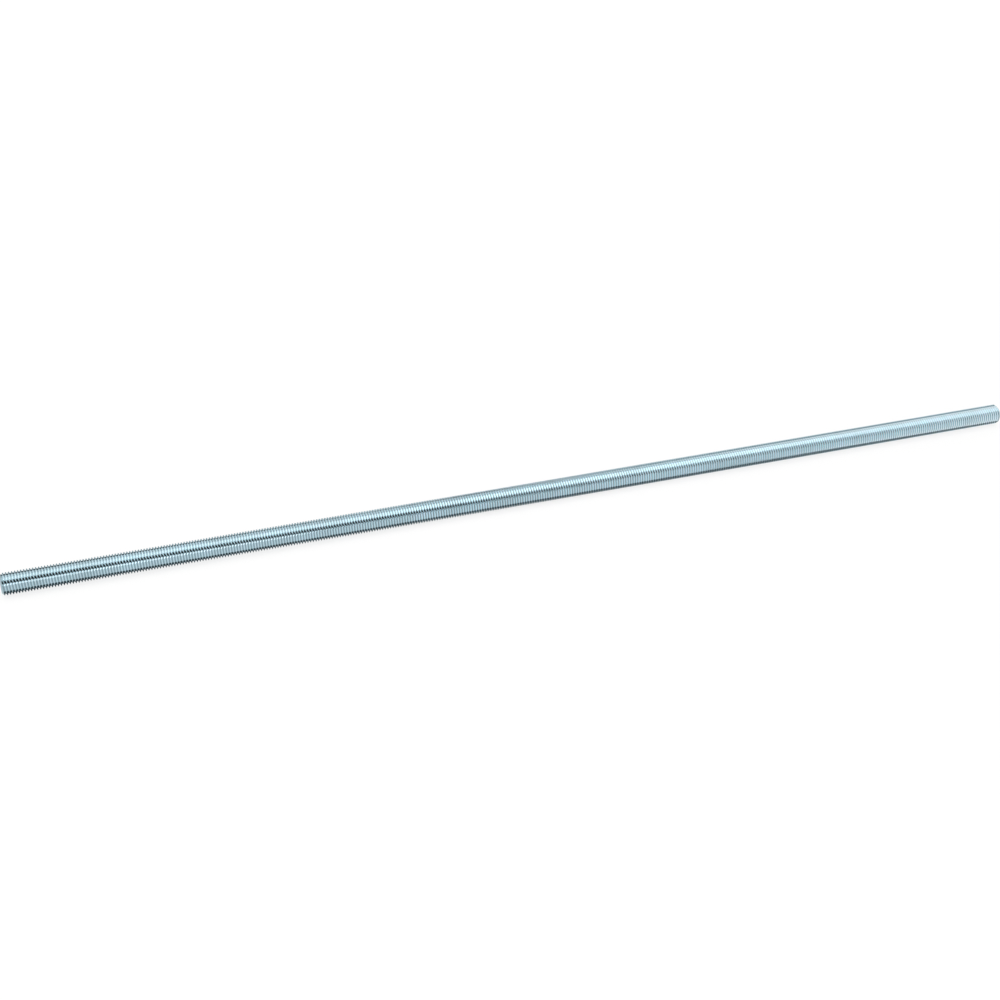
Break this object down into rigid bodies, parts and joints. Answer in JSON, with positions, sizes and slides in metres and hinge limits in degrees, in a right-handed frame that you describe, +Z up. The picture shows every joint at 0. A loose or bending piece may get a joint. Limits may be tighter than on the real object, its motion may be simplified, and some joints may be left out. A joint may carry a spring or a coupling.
{
  "type": "threaded rod",
  "caption": "Long straight steel rod with a coarse metric thread over its whole length and a chamfer at each sawn end, for clamping, hanging and joining parts with nuts.",
  "frame": {"origin": "centre of the near end face, on the rod's axis", "axes": "+X along the rod towards its far end; the rod is round, so +Y and +Z are any two directions square to it, with +Z up when it lies level"},
  "size_m": [1, 0.02, 0.02],
  "materials": {
    "zinc_plate": "bright blue-white zinc plating on rolled steel, satin"
  },
  "bodies": {
    "root": {"threaded_rod": "zinc_plate"}
  },
  "joints": []
}
